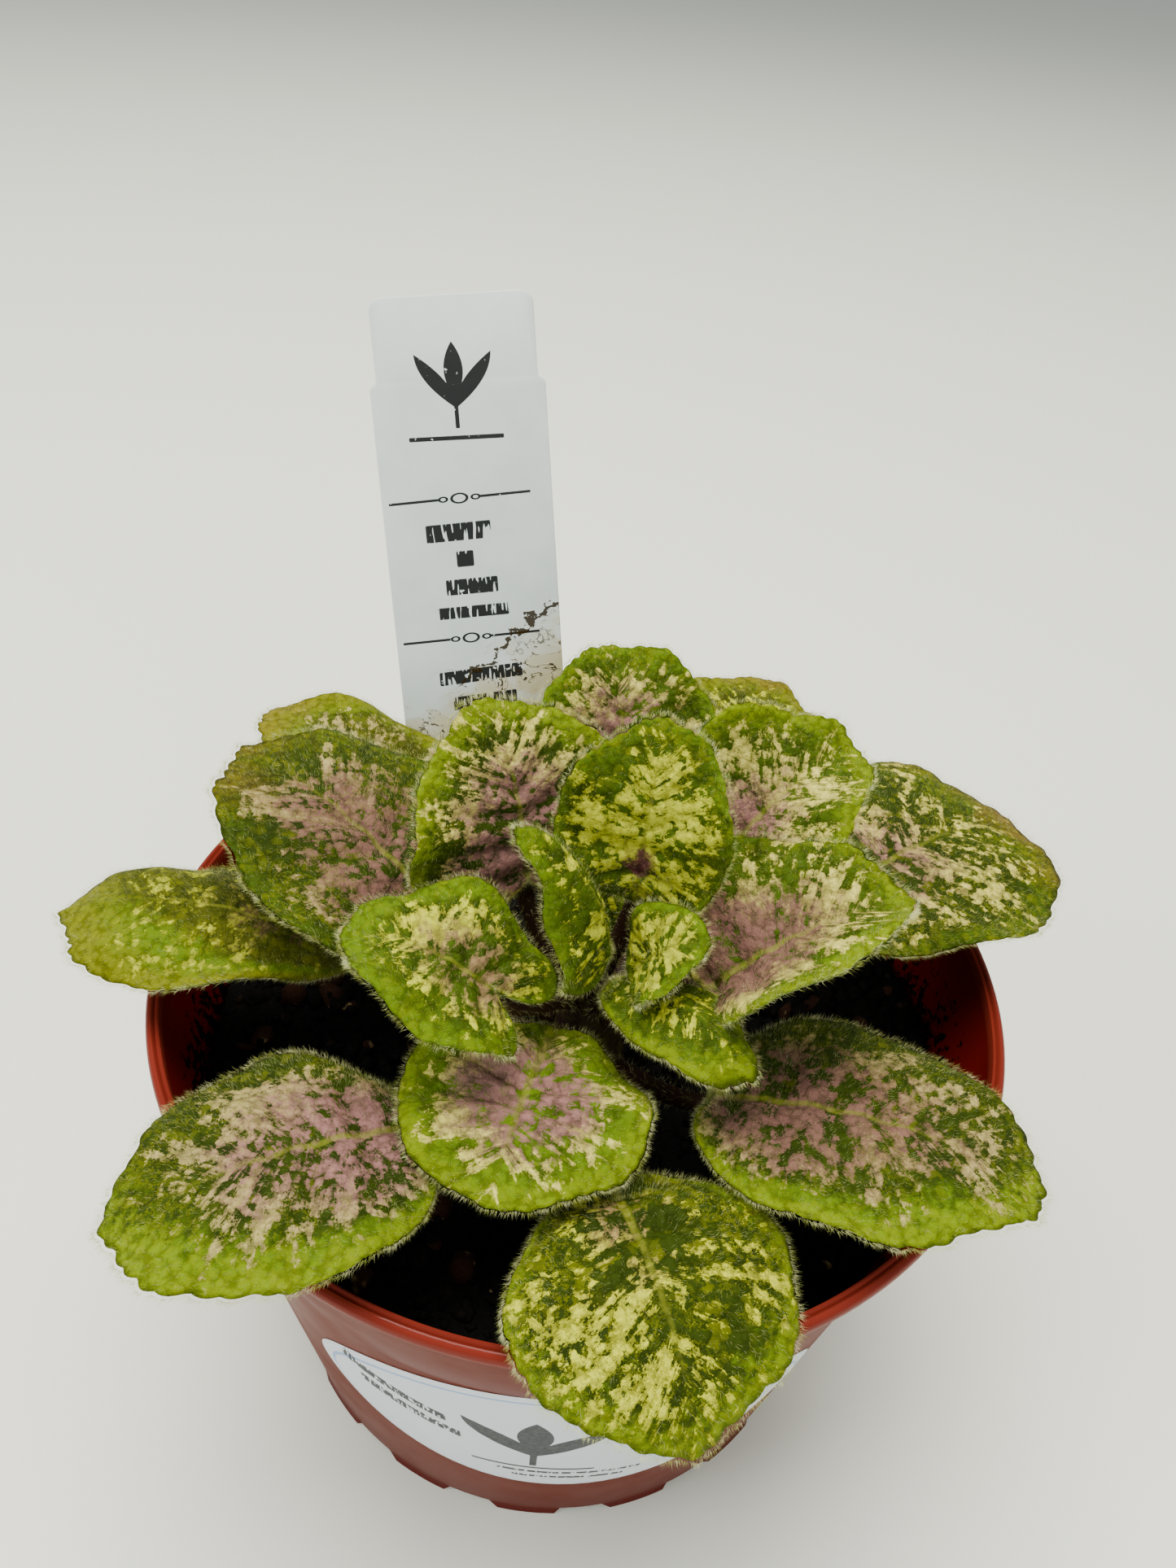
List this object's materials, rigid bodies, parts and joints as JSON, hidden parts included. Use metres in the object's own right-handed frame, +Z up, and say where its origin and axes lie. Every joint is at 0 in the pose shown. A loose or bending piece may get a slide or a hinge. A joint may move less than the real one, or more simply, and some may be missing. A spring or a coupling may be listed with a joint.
{
  "type": "semi-miniature african violet",
  "caption": "Small rosette plant with scalloped, hairy, variegated leaves on long stalks, growing in a shallow round plastic pot with soil, a blank stake label and an oval paper sticker.",
  "frame": {"origin": "the middle of the pot's flat underside", "axes": "+Z up along the pot's axis; -Y is the front, which carries the sticker; +X is to the right seen from the front"},
  "size_m": [0.121, 0.1078, 0.129],
  "materials": {
    "pot": "satin",
    "soil": "matte",
    "stem": "matte",
    "leaf": "matte",
    "label": "satin",
    "paper": "matte"
  },
  "bodies": {
    "root": {"pot": "pot", "crown_stem": "stem", "plant_tag": "label", "potting_soil": "soil", "pot_sticker": "paper", "leaf_01": "leaf", "leaf_02": "leaf", "leaf_03": "leaf", "leaf_04": "leaf", "leaf_05": "leaf", "leaf_06": "leaf", "leaf_07": "leaf", "leaf_08": "leaf", "leaf_09": "leaf", "leaf_10": "leaf", "leaf_11": "leaf", "leaf_12": "leaf", "leaf_13": "leaf", "leaf_14": "leaf", "leaf_15": "leaf", "leaf_16": "leaf", "leaf_17": "leaf", "leaf_18": "leaf", "leaf_19": "leaf", "leaf_20": "leaf"}
  },
  "joints": []
}
